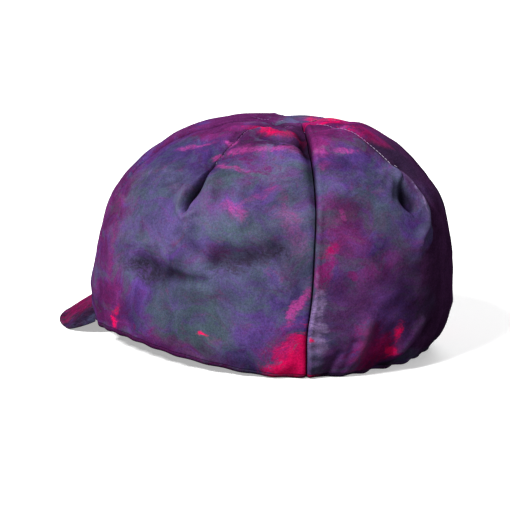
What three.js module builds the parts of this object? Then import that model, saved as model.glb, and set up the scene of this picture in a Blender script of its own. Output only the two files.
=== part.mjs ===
// Peaked cloth cap in millimetres, +Z up. The peak points to -Y, the wearer's left is +X.
// The cap stands on z = 0 by itself: the back of its hem and the rim of its peak touch the surface,
// and the front of its hem is lifted off it. The origin is the middle of its footprint.
//
// Four cloth panels make the crown. Full seams join them at the front and back corners, and each
// panel has a dart down its middle that ends in a pucker. A turned-under, elasticated hem band
// gathers the lower edge, most of all at the back, and the peak is sewn under its front.
//
// A place on the crown is an angle and a section. The angle is in degrees from the front, going
// round by the wearer's left. The section is 0 at the hem and 8 at the crown's top.
import * as THREE from 'three'

// Cloth and fit
const CLOTH = 1.8 // thickness of the crown's cloth with its seam allowances
const GAP = 0.3 // clearance between pieces that are sewn together
const PANEL_FOOT = 0.27 // section at which the panels end, just above the hem's roll
const PANEL_TOP = 7.97 // section at which the panels meet, just short of the middle of the top

// Crown sections, hem first. side and length are the half widths across X and Y, centre is the
// middle on Y, height the level and lean how much the front stands above it and the back below.
// lift is the share of the hem's lift that the section takes, seam the angle of the back seams.
const SECTIONS = [
  { side: 85.5, length: 103, centre: 9, height: 0, lean: 0, lift: 1, seam: 139 },
  { side: 88, length: 106, centre: 13.5, height: 11.5, lean: 1.5, lift: 1, seam: 136.5 },
  { side: 89.5, length: 107.5, centre: 16.5, height: 27.5, lean: 3, lift: 0.7, seam: 135 },
  { side: 89, length: 107, centre: 19.5, height: 47, lean: 4, lift: 0.4, seam: 135 },
  { side: 85.5, length: 103, centre: 22, height: 70.5, lean: 4.5, lift: 0.1, seam: 135 },
  { side: 76.5, length: 92, centre: 26, height: 93, lean: 4, lift: 0, seam: 135 },
  { side: 60, length: 72, centre: 29.5, height: 111, lean: 3, lift: 0, seam: 135 },
  { side: 36, length: 43, centre: 33.5, height: 125.3, lean: 1.5, lift: 0, seam: 135 },
  { side: 0, length: 0, centre: 40.5, height: 126.8, lean: 0, lift: 0, seam: 135 },
]
const FRONT_SEAM = 45

// How far the hem stands off the surface, by angle. The back of it lies flat.
const HEM_LIFT = [
  { angle: 0, rise: 19.5 },
  { angle: 40, rise: 9.5 },
  { angle: 75, rise: 10.5 },
  { angle: 105, rise: 5 },
  { angle: 132, rise: 0 },
  { angle: 180, rise: 0 },
]

// Seams and darts are valleys in the cloth. width is the half width of the valley.
const SEAM = { depth: 2, width: 3.6 }
const DART = { depth: 1.2, width: 3, start: 5.9, end: 5.3 } // fades out between these sections
const TOP_RELIEF = 14 // half width of the top within which valleys fade out

// Folds, dents and swells: each runs from one place to another, both angle and section. width is
// its half width in mm and depth how far it sinks, less than 0 where the cloth swells out.
const FOLDS = [
  // pucker below the left dart, with the lips on its two sides and the rim at its foot
  { from: [90, 5.75], to: [90, 4.85], width: 3.4, depth: 4.2 },
  { from: [84.5, 5.6], to: [86.5, 4.8], width: 4.5, depth: -1.6 },
  { from: [96, 5.6], to: [96, 4.8], width: 4.5, depth: -1.2 },
  { from: [86.5, 4.6], to: [94, 4.45], width: 4, depth: -1.5 },
  // pucker below the back dart: a hollow beside a ridge that curls in under it
  { from: [179, 5.6], to: [173, 4.75], width: 5, depth: 3.6 },
  { from: [184, 5.4], to: [185, 4.75], width: 4, depth: -1.7 },
  { from: [182, 4.5], to: [174.5, 4.25], width: 4.5, depth: -1.8 },
  // puckers below the front and right darts
  { from: [1, 5.7], to: [4, 4.9], width: 4, depth: 3.4 },
  { from: [-4, 5.5], to: [-3, 4.8], width: 4.5, depth: -1.8 },
  { from: [270, 5.75], to: [269, 4.9], width: 3.6, depth: 3.8 },
  { from: [275, 5.5], to: [274, 4.8], width: 4.5, depth: -1.5 },
  // soft dents round the girth of the left and back panels
  { from: [80, 3.05], to: [101, 3.2], width: 6, depth: 2.4 },
  { from: [106, 3.75], to: [127, 4.2], width: 6, depth: 2 },
  { from: [90, 4.15], to: [103, 3.6], width: 5, depth: 1.2 },
  { from: [160, 3.4], to: [172, 2.6], width: 8, depth: 1.8 },
  // soft dents of the right and front panels
  { from: [262, 3.1], to: [245, 3.5], width: 7, depth: 2.2 },
  { from: [296, 3.9], to: [280, 3.3], width: 6, depth: 1.6 },
  { from: [-18, 3.3], to: [14, 3], width: 7, depth: 1.4 },
  // folds across the top from the front to the back seams
  { from: [20, 7.45], to: [90, 7.6], width: 4, depth: 1.6 },
  { from: [112, 6.8], to: [132, 6.7], width: 4.5, depth: 1.6 },
  { from: [250, 7.1], to: [310, 7.2], width: 5, depth: 1.4 },
  // the cloth swells over the ends of the peak
  { from: [34, 1.7], to: [50, 1.7], width: 6, depth: -1.8 },
  { from: [326, 1.7], to: [310, 1.7], width: 6, depth: -1.8 },
  // the elastic draws the middle of the back in
  { from: [163, 0.2], to: [197, 0.2], width: 9, depth: 2.6 },
  // long gather folds that climb from the back of the hem
  { from: [153, 0.4], to: [154, 2.3], width: 5, depth: -2 },
  { from: [166, 0.3], to: [164, 1.9], width: 5, depth: 1.6 },
  { from: [206, 0.4], to: [205, 2.2], width: 5, depth: -1.8 },
  { from: [194, 0.3], to: [196, 1.8], width: 5, depth: 1.4 },
]

// Gathers that the elastic draws into the back of the hem: waves that fade upwards and sideways
const GATHER = { depth: 1.3, pitch: 10.25, reach: 13, start: 118, full: 146 }

// Hem band: a roll under the panels' edge with the elastic's casing standing up inside. Each corner
// has a section and an inset from the cloth's outer face. The two at section 0 make the flat foot.
const HEM_BAND = [
  { section: 0.24, inset: 0 },
  { section: 0.1, inset: 0 },
  { section: 0, inset: 0.9 },
  { section: 0, inset: 3.6 },
  { section: 0.12, inset: 4.6 },
  { section: 0.8, inset: 4.4 },
  { section: 1.45, inset: 4.3 },
  { section: 1.45, inset: 2.6 },
  { section: 0.8, inset: 2.6 },
  { section: 0.24, inset: 2.5 },
]

// Peak: a curved cloth-covered plate. half is the half width of its root and reach its length on
// plan. shape rounds its outline, fan spreads its sides and dome curves it. Its root lies clear of
// the hem's roll and sinks a little below the hem line. From there the peak drops to the surface.
const PEAK = { half: 58, reach: 32.2, shape: 2.3, fan: 0.4, dome: 0.4, clear: 0.5, sink: 1.2, drop: 17.4 }
const PEAK_THICKNESS = { root: 2.8, rim: 2 }

// Steps of the surfaces
const SLOPE_STEP = { angle: 0.5, section: 0.05 } // small steps that measure which way the cloth faces
const UPRIGHT_TO = 2 // section up to which the hem's level facing turns into the crown's own
const CREASE_BIAS = 0.05 // draws the columns of a panel towards its seams and its dart
const PANEL_ROWS = 19
const PANELS = [
  { name: 'crown_front', middle: 0, columns: 16, colour: 0x5b2a52 },
  { name: 'crown_left', middle: 90, columns: 18, colour: 0x4b4058 },
  { name: 'crown_back', middle: 180, columns: 28, colour: 0x5a2140 },
  { name: 'crown_right', middle: 270, columns: 18, colour: 0x49365a },
]
const PEAK_COLUMNS = 24
const PEAK_ROWS = 5

const HEM_COLOUR = 0x2c1a2c
const PEAK_COLOUR = 0x4f2338

const radians = THREE.MathUtils.degToRad

// Turns an angle into the range from -180 to 180.
function wrap(angle) {
  return THREE.MathUtils.euclideanModulo(angle + 180, 360) - 180
}

// Smooth curve through rows of named columns, one row a step.
function sectionAt(place) {
  const last = SECTIONS.length - 1
  const index = THREE.MathUtils.clamp(Math.floor(place), 0, last - 1)
  const t = place - index
  const row = {}
  for (const key of Object.keys(SECTIONS[0])) {
    const b = SECTIONS[index][key]
    const c = SECTIONS[index + 1][key]
    const a = index > 0 ? SECTIONS[index - 1][key] : 2 * b - c
    const d = index + 2 <= last ? SECTIONS[index + 2][key] : 2 * c - b
    const linear = c - a
    const square = 2 * a - 5 * b + 4 * c - d
    const cube = 3 * b - a - 3 * c + d
    row[key] = 0.5 * (2 * b + linear * t + square * t * t + cube * t * t * t)
  }
  return row
}

// Lift of the hem line at an angle, level at the front, the back and where it touches down.
function hemLift(angle) {
  const turn = Math.abs(wrap(angle))
  const last = HEM_LIFT.length - 1
  let index = 0
  while (index < last - 1 && turn >= HEM_LIFT[index + 1].angle) index += 1
  const slope = (k) => {
    if (k === 0 || k === last) return 0
    const before = HEM_LIFT[k - 1]
    const after = HEM_LIFT[k + 1]
    return (after.rise - before.rise) / (after.angle - before.angle)
  }
  const a = HEM_LIFT[index]
  const b = HEM_LIFT[index + 1]
  const span = b.angle - a.angle
  const t = (turn - a.angle) / span
  const t2 = t * t
  const t3 = t2 * t
  const values = (2 * t3 - 3 * t2 + 1) * a.rise + (3 * t2 - 2 * t3) * b.rise
  const slopes = (t3 - 2 * t2 + t) * slope(index) + (t3 - t2) * slope(index + 1)
  return Math.max(0, values + span * slopes)
}

// The crown without seams and folds.
function smoothSkin(angle, place) {
  const row = sectionAt(place)
  const turn = radians(angle)
  const x = row.side * Math.sin(turn)
  const y = row.centre - row.length * Math.cos(turn)
  const z = row.height + row.lean * Math.cos(turn) + row.lift * hemLift(angle)
  return new THREE.Vector3(x, y, z)
}

const foldLines = FOLDS.map((fold) => ({
  line: new THREE.Line3(smoothSkin(...fold.from), smoothSkin(...fold.to)),
  width: fold.width,
  depth: fold.depth,
}))

// How far the cloth stands out of the smooth crown at a place.
function relief(angle, place, point) {
  const row = sectionAt(place)
  const turn = radians(angle)
  const radius = Math.hypot(row.side * Math.cos(turn), row.length * Math.sin(turn))
  const fade = Math.min(1, radius / TOP_RELIEF)
  const valley = (from, width) => {
    const distance = radians(wrap(angle - from)) * radius
    return Math.exp(-((distance / width) ** 2))
  }
  let out = 0
  for (const seam of [FRONT_SEAM, -FRONT_SEAM, row.seam, -row.seam]) {
    out -= SEAM.depth * fade * valley(seam, SEAM.width)
  }
  const sewn = THREE.MathUtils.smoothstep(place, DART.end, DART.start)
  for (const panel of PANELS) {
    out -= DART.depth * fade * sewn * valley(panel.middle, DART.width)
  }
  const nearest = new THREE.Vector3()
  for (const fold of foldLines) {
    fold.line.closestPointToPoint(point, true, nearest)
    const distance = nearest.distanceTo(point) / fold.width
    out -= fold.depth * Math.exp(-distance * distance)
  }
  const backness = THREE.MathUtils.smoothstep(Math.abs(wrap(angle)), GATHER.start, GATHER.full)
  const height = row.height / GATHER.reach
  const wave = Math.cos((2 * Math.PI * wrap(angle - 180)) / GATHER.pitch)
  out += GATHER.depth * backness * Math.exp(-height * height) * wave
  return out
}

// Outward direction of the smooth crown, level at the hem so that the hem's foot stays flat.
function outward(angle, place) {
  const ahead = smoothSkin(angle + SLOPE_STEP.angle, place)
  const behind = smoothSkin(angle - SLOPE_STEP.angle, place)
  const above = smoothSkin(angle, Math.min(place + SLOPE_STEP.section, PANEL_TOP))
  const below = smoothSkin(angle, place - SLOPE_STEP.section)
  const direction = ahead.sub(behind).cross(above.sub(below)).normalize()
  direction.z *= THREE.MathUtils.smoothstep(place, 0, UPRIGHT_TO)
  return direction.normalize()
}

// A point of the cloth, inset from its outer face.
function cloth(angle, place, inset = 0) {
  const point = smoothSkin(angle, place)
  const out = relief(angle, place, point) - inset
  return point.addScaledVector(outward(angle, place), out)
}

// Closed body between an outer and an inner grid of points, rows first, columns anticlockwise.
function shell(outer, inner) {
  const rows = outer.length
  const columns = outer[0].length
  const points = [...outer.flat(), ...inner.flat()]
  const positions = points.flatMap((point) => point.toArray())
  const at = (row, column, side) => side * rows * columns + row * columns + column
  const index = []
  const quad = (a, b, c, d) => index.push(a, b, c, a, c, d)
  for (let r = 0; r < rows - 1; r += 1) {
    for (let c = 0; c < columns - 1; c += 1) {
      quad(at(r, c, 0), at(r, c + 1, 0), at(r + 1, c + 1, 0), at(r + 1, c, 0))
      quad(at(r, c, 1), at(r + 1, c, 1), at(r + 1, c + 1, 1), at(r, c + 1, 1))
    }
    quad(at(r, 0, 0), at(r + 1, 0, 0), at(r + 1, 0, 1), at(r, 0, 1))
    quad(at(r, columns - 1, 0), at(r, columns - 1, 1), at(r + 1, columns - 1, 1), at(r + 1, columns - 1, 0))
  }
  for (let c = 0; c < columns - 1; c += 1) {
    quad(at(0, c, 0), at(0, c, 1), at(0, c + 1, 1), at(0, c + 1, 0))
    quad(at(rows - 1, c, 0), at(rows - 1, c + 1, 0), at(rows - 1, c + 1, 1), at(rows - 1, c, 1))
  }
  const geometry = new THREE.BufferGeometry()
  geometry.setAttribute('position', new THREE.Float32BufferAttribute(positions, 3))
  geometry.setIndex(index)
  geometry.computeVertexNormals()
  return geometry
}

// Closed body swept once round: rings of points, each ring a closed section.
function loop(rings) {
  const count = rings[0].length
  const positions = rings.flat().flatMap((point) => point.toArray())
  const index = []
  for (let ring = 0; ring < rings.length; ring += 1) {
    const next = (ring + 1) % rings.length
    for (let corner = 0; corner < count; corner += 1) {
      const other = (corner + 1) % count
      const a = ring * count + corner
      const b = next * count + corner
      const c = next * count + other
      const d = ring * count + other
      index.push(a, d, c, a, c, b)
    }
  }
  const geometry = new THREE.BufferGeometry()
  geometry.setAttribute('position', new THREE.Float32BufferAttribute(positions, 3))
  geometry.setIndex(index)
  geometry.computeVertexNormals()
  return geometry
}

// Angles of a panel's columns at a section, its first and last ones kept clear of the seams.
function columnAngles({ middle, columns }, place, clearance) {
  const back = sectionAt(place).seam
  const [start, end] = {
    0: [-FRONT_SEAM, FRONT_SEAM],
    90: [FRONT_SEAM, back],
    180: [back, 360 - back],
    270: [360 - back, 360 - FRONT_SEAM],
  }[middle]
  const degrees = (edge) => clearance / smoothSkin(edge, place).distanceTo(smoothSkin(edge + 1, place))
  const first = start + degrees(start)
  const last = end - degrees(end)
  const angles = []
  for (let c = 0; c <= columns; c += 1) {
    const t = c / columns
    const share = t - CREASE_BIAS * Math.sin(4 * Math.PI * t)
    angles.push(THREE.MathUtils.lerp(first, last, share))
  }
  return angles
}

function panel(row) {
  const outer = []
  const inner = []
  for (let r = 0; r <= PANEL_ROWS; r += 1) {
    const place = THREE.MathUtils.lerp(PANEL_FOOT, PANEL_TOP, r / PANEL_ROWS)
    const angles = columnAngles(row, place, GAP / 2)
    outer.push(angles.map((angle) => cloth(angle, place)))
    inner.push(angles.map((angle) => cloth(angle, place, CLOTH)))
  }
  return shell(outer, inner)
}

// The hem band has the same columns as the panels, so it follows their seams and gathers.
function hemBand() {
  const rings = []
  for (const row of PANELS) {
    for (let c = 0; c < row.columns; c += 1) {
      rings.push(HEM_BAND.map(({ section, inset }) => cloth(columnAngles(row, section, 0)[c], section, inset)))
    }
  }
  return loop(rings)
}

// The peak's columns run from the wearer's right to the left, its rows from the hem to the rim. The
// rows run away from the crown, so its under face takes the outer grid's place.
function peak() {
  const under = Array.from({ length: PEAK_ROWS + 1 }, () => [])
  const over = Array.from({ length: PEAK_ROWS + 1 }, () => [])
  for (let c = 0; c < PEAK_COLUMNS; c += 1) {
    const round = (Math.PI * (c + 0.5)) / PEAK_COLUMNS
    const across = -Math.sign(Math.cos(round)) * Math.abs(Math.cos(round)) ** (2 / PEAK.shape)
    const share = Math.sin(round) ** (2 / PEAK.shape)
    const turn = Math.asin((PEAK.half * across) / SECTIONS[0].side)
    const angle = THREE.MathUtils.radToDeg(turn)
    const root = cloth(angle, HEM_BAND[1].section, -PEAK.clear)
    const away = new THREE.Vector3(PEAK.fan * Math.sin(turn), -Math.cos(turn), 0).normalize()
    for (let r = 0; r <= PEAK_ROWS; r += 1) {
      const t = r / PEAK_ROWS
      const low = root.clone().addScaledVector(away, PEAK.reach * share * t)
      const level = hemLift(angle) - PEAK.sink - PEAK.drop * share * t + PEAK.dome * share * 4 * t * (1 - t)
      low.z = Math.max(0, level)
      const high = low.clone()
      high.z += THREE.MathUtils.lerp(PEAK_THICKNESS.root, PEAK_THICKNESS.rim, t * t)
      under[r].push(low)
      over[r].push(high)
    }
  }
  return shell(under, over)
}

// Matt cloth in one colour a piece.
function piece(name, geometry, color) {
  const material = new THREE.MeshStandardMaterial({ color, roughness: 0.9, metalness: 0 })
  const mesh = new THREE.Mesh(geometry, material)
  mesh.name = name
  return mesh
}

const cap = new THREE.Group()
for (const row of PANELS) {
  cap.add(piece(row.name, panel(row), row.colour))
}
cap.add(piece('hem_band', hemBand(), HEM_COLOUR))
cap.add(piece('peak', peak(), PEAK_COLOUR))

export default cap
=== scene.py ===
"""A soft round cloth cap with a short drooping peak, in printed cloth, at rest on a pale floor.

The crown's panels, the hem band and the peak are built as fine closed cloth surfaces on the same
named sizes as the solids that they replace. A place on the crown is an angle, in degrees from the
front and round by the wearer's left, and a section, which is 0 at the hem and 8 at the top.
"""
import math

import bpy
import numpy as np
from mathutils import Matrix, Vector


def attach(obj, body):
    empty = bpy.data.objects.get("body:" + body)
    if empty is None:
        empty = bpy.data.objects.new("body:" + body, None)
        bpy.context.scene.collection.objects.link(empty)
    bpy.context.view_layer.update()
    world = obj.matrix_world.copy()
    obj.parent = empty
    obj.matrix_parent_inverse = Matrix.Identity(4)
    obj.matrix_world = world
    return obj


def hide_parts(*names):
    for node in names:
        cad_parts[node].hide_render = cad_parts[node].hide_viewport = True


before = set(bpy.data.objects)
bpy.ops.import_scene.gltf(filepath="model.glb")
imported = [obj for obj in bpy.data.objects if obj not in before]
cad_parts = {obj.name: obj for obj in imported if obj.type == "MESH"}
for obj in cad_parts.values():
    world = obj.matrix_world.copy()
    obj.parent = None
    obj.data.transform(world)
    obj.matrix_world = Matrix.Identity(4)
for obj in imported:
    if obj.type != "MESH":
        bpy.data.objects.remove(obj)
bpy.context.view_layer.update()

# Sizes are in millimetres and turn into metres where a mesh is made
MM = 0.001

# Cloth and fit
CLOTH = 1.8
SEAM_GAP = 0.12  # between panels that are sewn together
PANEL_FOOT = 0.25
PANEL_TOP = 7.975

# Crown sections, hem first
SECTION_KEYS = ("side", "length", "centre", "height", "lean", "lift", "seam")
SECTIONS = np.array([
    (85.5, 103, 9, 0, 0, 1, 139),
    (88, 106, 13.5, 11.5, 1.5, 1, 136.5),
    (89.5, 107.5, 16.5, 27.5, 3, 0.7, 135),
    (89, 107, 19.5, 47, 4, 0.4, 135),
    (85.5, 103, 22, 70.5, 4.5, 0.1, 135),
    (76.5, 92, 26, 93, 4, 0, 135),
    (60, 72, 29.5, 111, 3, 0, 135),
    (36, 43, 33.5, 125.3, 1.5, 0, 135),
    (0, 0, 40.5, 126.8, 0, 0, 135),
], float)
FRONT_SEAM = 45

# Share of the seams' relief and of their small puckers, because the front seams lie flatter
SEAM_SHARES = {"front": (0.46, 0.1), "back": (1, 1)}

# Rise of the hem off the surface, by angle
HEM_LIFT = np.array([(0, 19.5), (40, 9.5), (75, 10.5), (105, 5), (132, 0), (180, 0)], float)

# Full seams are lapped: low is the profile on the side panel, high the one on the raised edge
SEAM_LOW = {"depth": 0.9, "width": 1.5, "top_depth": 2.8, "top_width": 5.4, "nip": 1.6, "nip_width": 0.4}
SEAM_HIGH = {"depth": 1.7, "width": 0.8, "swell": 0.7, "swell_at": 2.2, "swell_width": 1.5}
SEAM_WIDENS = {"from": 3.8, "to": 6.3}
DART = {"depth": 1.1, "width": 2.8, "nip": 1.8, "nip_width": 0.4, "start": 5.95, "end": 5.45}
TOP_RELIEF = 14

# Folds, dents and swells. Each runs through places on the crown, an angle and a section each. depth
# is less than 0 where the cloth swells out, and skew, 0 where it is left out, makes the side of the
# higher angles steeper
FOLD_KEYS = ("places", "width", "depth", "skew")
FOLDS = [
    # lips and rim of the pucker below the left dart, and the creases that fan out from it
    (((84, 5.5), (85.5, 4.8)), 3.6, -1.5),
    (((95.5, 5.6), (95.5, 4.8)), 4.0, -1.2),
    (((86.4, 5.05), (87.4, 4.62), (90.3, 4.48), (93.5, 4.66)), 1.5, -1.7),
    (((88, 5.8), (83, 5.2), (79, 4.8)), 1.5, 1.5),
    (((88, 5.95), (80, 5.35), (74, 5.1)), 1.6, 1.4),
    (((88, 6.1), (77, 5.7), (70, 5.5)), 1.8, 1.1),
    (((91.5, 5.85), (97, 5.4), (99.5, 4.95)), 1.9, 1.0),
    (((91.5, 6.15), (101, 5.8)), 2.2, 0.5),
    # pucker below the back dart: a hollow beside a ridge that curls in under it
    (((180, 5.85), (182, 5.3), (183, 4.8), (181, 4.45), (176, 4.2)), 3.2, -2.6, 0.45),
    (((184, 5.9), (187, 5.2), (187.5, 4.5)), 3.2, 2.0),
    (((177, 5.8), (168, 5.2)), 2.0, 0.8),
    (((178, 5.95), (167, 5.6)), 2.0, 0.6),
    # puckers below the front and right darts
    (((1, 5.7), (4, 4.9)), 4, 3.4, 0.3),
    (((-4, 5.5), (-3, 4.8)), 4.5, -1.8),
    (((270, 5.75), (269, 4.9)), 3.6, 3.8, -0.3),
    (((275, 5.5), (274, 4.8)), 4.5, -1.5),
    (((271.5, 5.8), (281, 5.0)), 1.8, 0.8),
    (((268.5, 5.8), (260, 5.2)), 1.8, 0.7),
    (((2, 5.8), (10, 5.2)), 1.8, 0.8),
    (((-2, 5.8), (-11, 5.3)), 1.8, 0.7),
    # soft dents round the girth of the left and back panels
    (((78, 3.16), (88, 3.12)), 7, 2.6),
    (((90, 3.1), (96, 3.08), (102.5, 3.14)), 3.0, 2.5),
    (((105, 3.74), (114, 3.88), (122, 4.08)), 5, 3.0),
    (((90, 4.15), (98, 3.84), (104, 3.6)), 3.4, 1.7),
    (((82, 3.55), (98, 3.62)), 5, -0.9),
    (((96, 2.75), (116, 3.35)), 6, -1.0),
    (((112, 4.4), (130, 4.8)), 6, -0.8),
    (((160, 3.4), (172, 2.6)), 8, 1.8),
    (((142, 3.0), (149, 3.7), (160, 4.1)), 5, 0.9),
    (((60, 4.2), (74, 4.0)), 7, 0.9),
    # soft dents of the right and front panels
    (((262, 3.1), (245, 3.5)), 7, 2.2),
    (((296, 3.9), (280, 3.3)), 6, 1.6),
    (((286, 2.2), (268, 2.0), (250, 2.4)), 6, 1.0),
    (((-18, 3.3), (14, 3)), 7, 1.4),
    (((20, 4.2), (34, 3.6)), 5, 1.0),
    # folds across the top, and the one that the left dart runs into
    (((9.5, 7.48), (44, 7.68), (105, 7.52), (130, 7.15)), 2.3, 1.6),
    (((20, 7.45), (90, 7.55)), 4, 0.7),
    (((103, 6.86), (118, 6.82), (132.5, 6.7)), 2.8, 2.6),
    (((106, 6.5), (131, 6.42)), 3, -0.9),
    (((130.5, 7.05), (132.3, 6.45)), 3.4, 2.2),
    (((132, 6.8), (134.4, 6.2), (134.9, 5.2)), 2.6, 1.3),
    (((64, 6.75), (82, 6.95), (87, 6.6)), 2.1, 1.9),
    (((88, 6.72), (95, 7.1)), 1.8, -0.9),
    (((250, 7.1), (310, 7.2)), 5, 1.4),
    (((160, 7.35), (215, 7.3)), 3, 0.8),
    # the cloth swells over the ends of the peak
    (((30, 1.7), (52, 1.8)), 9, -1.4),
    (((330, 1.7), (308, 1.8)), 9, -1.4),
    (((20, 0.1), (50, 0.1)), 5, 2.4),
    (((340, 0.1), (310, 0.1)), 5, 2.4),
    # the elastic draws the middle of the back in
    (((163, 0.2), (197, 0.2)), 9, 2.6),
    # the front panel stands a little fuller on the wearer's left
    (((33, 6.3), (33, 4.9)), 14, -1.0),
    # gather folds that climb from the back of the hem
    (((153, 0.4), (154, 2.3)), 5, -2),
    (((149.5, 0.3), (150.5, 1.7)), 2.8, 1.1),
    (((166, 0.3), (164, 1.9)), 5, 1.2),
    (((168, 0.2), (175, 0.9), (183, 1.9)), 2.8, 1.9),
    (((163, 0.4), (170, 1.1), (178, 2.1)), 3.0, -1.2),
    (((206, 0.4), (205, 2.2)), 5, -1.8),
    (((194, 0.3), (196, 1.8)), 5, 1.4),
    (((145, 0.3), (146, 1.3)), 2.4, 0.9),
    (((158.5, 0.3), (159.5, 1.0)), 2.2, 0.9),
    (((177, 0.3), (180, 1.0)), 2.4, 0.9),
    (((214, 0.3), (212, 1.4)), 2.6, 0.9),
    (((120, 0.3), (117, 1.0)), 2.8, 0.6),
    (((98, 0.3), (96, 0.9)), 2.8, 0.5),
]

# Open puckers: a leaf-shaped hollow with a soft side and a crisp side, whose lip leans over it. ease
# is the width and the power of the soft side
PUCKERS = [
    {"places": ((89.6, 6.0), (90.6, 5.4), (89.5, 4.6)), "half": 3.5, "depth": 9, "lip": 2.2,
     "ease": (1.0, 4)},
    {"places": ((180, 5.75), (177.6, 5.25), (175.2, 4.75)), "half": 5.4, "depth": 7, "lip": 0.5,
     "ease": (1.4, 2)},
]

# A slant above 1 makes the leaf widest below its middle
LEAF = {"slant": 1.35, "fullness": 0.7, "ends": (0.02, 0.99)}
PUCKER_CRISP = {"width": 0.9, "power": 4}
PUCKER_LIP = {"place": 0.95, "width": 1.2}

# Gathers that the elastic draws into the hem, and the scallops that they leave in its edge
GATHER = {"depth": 1.3, "pitch": 10.25, "reach": 13, "start": 118, "full": 146}
SCALLOP = {"depth": 0.3, "back_depth": 0.15, "pitch": 9.1, "sway": 1.3, "sways": 5, "reach": 6, "rise": 0.3,
           "fade": 0.6}

# Small puckers along the raised edge of a seam
SEAM_PUCKER = {"depth": 0.28, "pitch": 7.6, "sway": 1.6, "sway_length": 13, "offset": 2, "reach": 7,
               "less": 0.75, "less_from": 2.4, "less_to": 3.6}

# Uneven hang of the cloth: wavelength, depth and seed of each layer of waves
RIPPLES = [(46, 0.5, 3), (22, 0.3, 5), (9, 0.08, 8)]
RIPPLE_WAVES = 9
RIPPLE_STRETCH = (0.75, 1.3)
RIPPLE_FROM = 0.6  # section below which they fade out

# Profile of the hem band, a section and an inset each: a roll under the panels' edge, with the
# elastic's casing standing up inside
HEM_BAND = [
    (0.245, 0.35), (0.235, 0.05), (0.2, -0.12), (0.15, -0.15), (0.1, -0.05), (0.05, 0.25),
    (0.01, 0.8), (0.0, 1.5), (0.0, 2.5), (0.0, 3.5), (0.04, 4.15), (0.12, 4.55), (0.3, 4.7),
    (0.55, 4.55), (0.8, 4.45), (1.05, 4.4), (1.3, 4.35), (1.41, 4.15), (1.45, 3.8), (1.45, 3.2),
    (1.41, 2.8), (1.3, 2.65), (1.05, 2.6), (0.8, 2.6), (0.55, 2.6), (0.3, 2.5), (0.25, 2.3),
]
HEM_COLUMNS = 900
HEM_RADIUS = 95  # for the weave's coordinates

# Peak, as in the solid, with a rounded rim and a stitched edge
PEAK = {"half": 58, "reach": 32.2, "shape": 2.3, "fan": 0.4, "dome": 0.4, "clear": 0.05, "sink": 1.2,
        "tuck": 7}
PEAK_DROP = 17.4
PEAK_THICKNESS = {"root": 2.8, "rim": 2}
PEAK_ROOT_SECTION = 0.1
PEAK_COLUMNS = 240
PEAK_ROWS = 44
PEAK_CROWDING = 1.8  # draws the rows towards the rim
PEAK_EDGE = {"round": 1.3, "fullness": 0.9, "stitch_in": 4, "stitch_depth": 0.25, "stitch_width": 0.7}

# Panel grids. A weight draws columns towards the seams and the dart of a panel of about this width
PANEL_COLUMNS = 170
PANEL_ROWS = 150
EDGE_WEIGHT, EDGE_REACH = 6, 2.5
MIDDLE_WEIGHT, MIDDLE_REACH = 3, 9
WEIGHT_STEPS = 4001
PANEL_WIDTH = 140

# Steps for the crown's slope, the section below which it turns level, and the middle of each panel
SLOPE_STEP = {"angle": 0.5, "section": 0.05}
UPRIGHT_TO = 2
PANELS = {"crown_front": 0, "crown_left": 90, "crown_back": 180, "crown_right": 270}


def smoothstep(value, low, high):
    """0 below low, 1 above high and a smooth rise between them."""
    t = np.clip((value - low) / (high - low), 0, 1)
    return t * t * (3 - 2 * t)


def wrap(angle):
    """An angle in the range from -180 to 180."""
    return (np.asarray(angle, float) + 180) % 360 - 180


def section_at(place):
    """Smooth curve through the crown's sections: one array for each key."""
    place = np.asarray(place, float)
    index = np.clip(np.floor(place).astype(int), 0, len(SECTIONS) - 2)
    t = (place - index)[..., None]
    before = 2 * SECTIONS[:1] - SECTIONS[1:2]
    after = 2 * SECTIONS[-1:] - SECTIONS[-2:-1]
    padded = np.vstack([before, SECTIONS, after])
    a, b, c, d = (padded[index + k] for k in range(4))
    square = 2 * a - 5 * b + 4 * c - d
    cube = 3 * b - a - 3 * c + d
    rows = 0.5 * (2 * b + (c - a) * t + square * t**2 + cube * t**3)
    return dict(zip(SECTION_KEYS, np.moveaxis(rows, -1, 0)))


def hem_lift(angle):
    """Lift of the hem line, level at the front, the back and where it touches down."""
    turn = np.abs(wrap(angle))
    places, rises = HEM_LIFT.T
    slopes = np.zeros(len(places))
    slopes[1:-1] = (rises[2:] - rises[:-2]) / (places[2:] - places[:-2])
    k = np.clip(np.searchsorted(places, turn, side="right") - 1, 0, len(places) - 2)
    span = places[k + 1] - places[k]
    t = (turn - places[k]) / span
    values = (2 * t**3 - 3 * t**2 + 1) * rises[k] + (3 * t**2 - 2 * t**3) * rises[k + 1]
    bends = (t**3 - 2 * t**2 + t) * slopes[k] + (t**3 - t**2) * slopes[k + 1]
    return np.maximum(0, values + span * bends)


def smooth_skin(angle, place):
    """The crown without seams and folds."""
    row = section_at(place)
    turn = np.radians(angle)
    x = row["side"] * np.sin(turn)
    y = row["centre"] - row["length"] * np.cos(turn)
    z = row["height"] + row["lean"] * np.cos(turn) + row["lift"] * hem_lift(angle)
    return np.stack(np.broadcast_arrays(x, y, z), -1)


def girth(angle, row):
    """Distance that a radian round the crown covers, at an angle of a section."""
    turn = np.radians(angle)
    return np.hypot(row["side"] * np.cos(turn), row["length"] * np.sin(turn))


def bell(distance, width, power=2):
    """1 in the middle, falling to 0 past the width."""
    return np.exp(-(np.abs(distance / width) ** power))


def unit(vectors):
    return vectors / (np.linalg.norm(vectors, axis=-1, keepdims=True) + 1e-12)


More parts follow.
